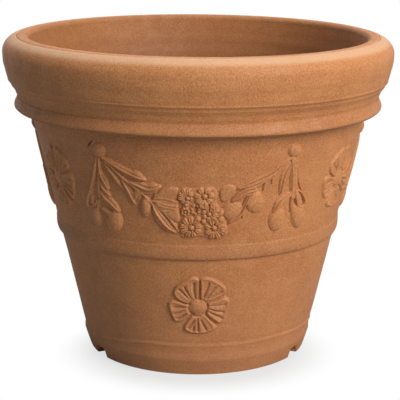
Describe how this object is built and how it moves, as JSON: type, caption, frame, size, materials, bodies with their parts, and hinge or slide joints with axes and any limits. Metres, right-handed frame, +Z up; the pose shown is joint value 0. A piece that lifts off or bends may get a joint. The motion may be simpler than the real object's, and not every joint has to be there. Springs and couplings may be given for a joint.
{
  "type": "flower pot",
  "caption": "Round tapered terracotta floor pot with a heavy rolled rim, a collar, a belt, garlands between knobs, rosettes, and a notched foot that drains.",
  "frame": {"origin": "on the ground, at the middle of the foot", "axes": "+Z up along the pot's axis; -Y is the front, at the middle of a garland; +X is the right side seen from the front"},
  "size_m": [0.5, 0.5, 0.41],
  "materials": {
    "body_clay": "fired unglazed terracotta, fine sandy grain",
    "foot_clay": "fired unglazed terracotta, slightly darker foot",
    "relief_clay": "fired unglazed terracotta, pressed ornament"
  },
  "bodies": {
    "root": {"base_slab": "foot_clay", "foot_ring": "foot_clay", "pot_wall": "body_clay", "belt_band": "body_clay", "collar_band": "body_clay", "rim_band": "body_clay", "flower_cluster_1": "relief_clay", "swag_left_1": "relief_clay", "swag_right_1": "relief_clay", "pendant_left_1": "relief_clay", "pendant_right_1": "relief_clay", "knob_left_1": "relief_clay", "knob_right_1": "relief_clay", "wall_rosette_1": "relief_clay", "lower_rosette_1": "relief_clay", "flower_cluster_2": "relief_clay", "swag_left_2": "relief_clay", "swag_right_2": "relief_clay", "pendant_left_2": "relief_clay", "pendant_right_2": "relief_clay", "knob_left_2": "relief_clay", "knob_right_2": "relief_clay", "wall_rosette_2": "relief_clay", "lower_rosette_2": "relief_clay", "flower_cluster_3": "relief_clay", "swag_left_3": "relief_clay", "swag_right_3": "relief_clay", "pendant_left_3": "relief_clay", "pendant_right_3": "relief_clay", "knob_left_3": "relief_clay", "knob_right_3": "relief_clay", "wall_rosette_3": "relief_clay", "lower_rosette_3": "relief_clay"}
  },
  "joints": []
}
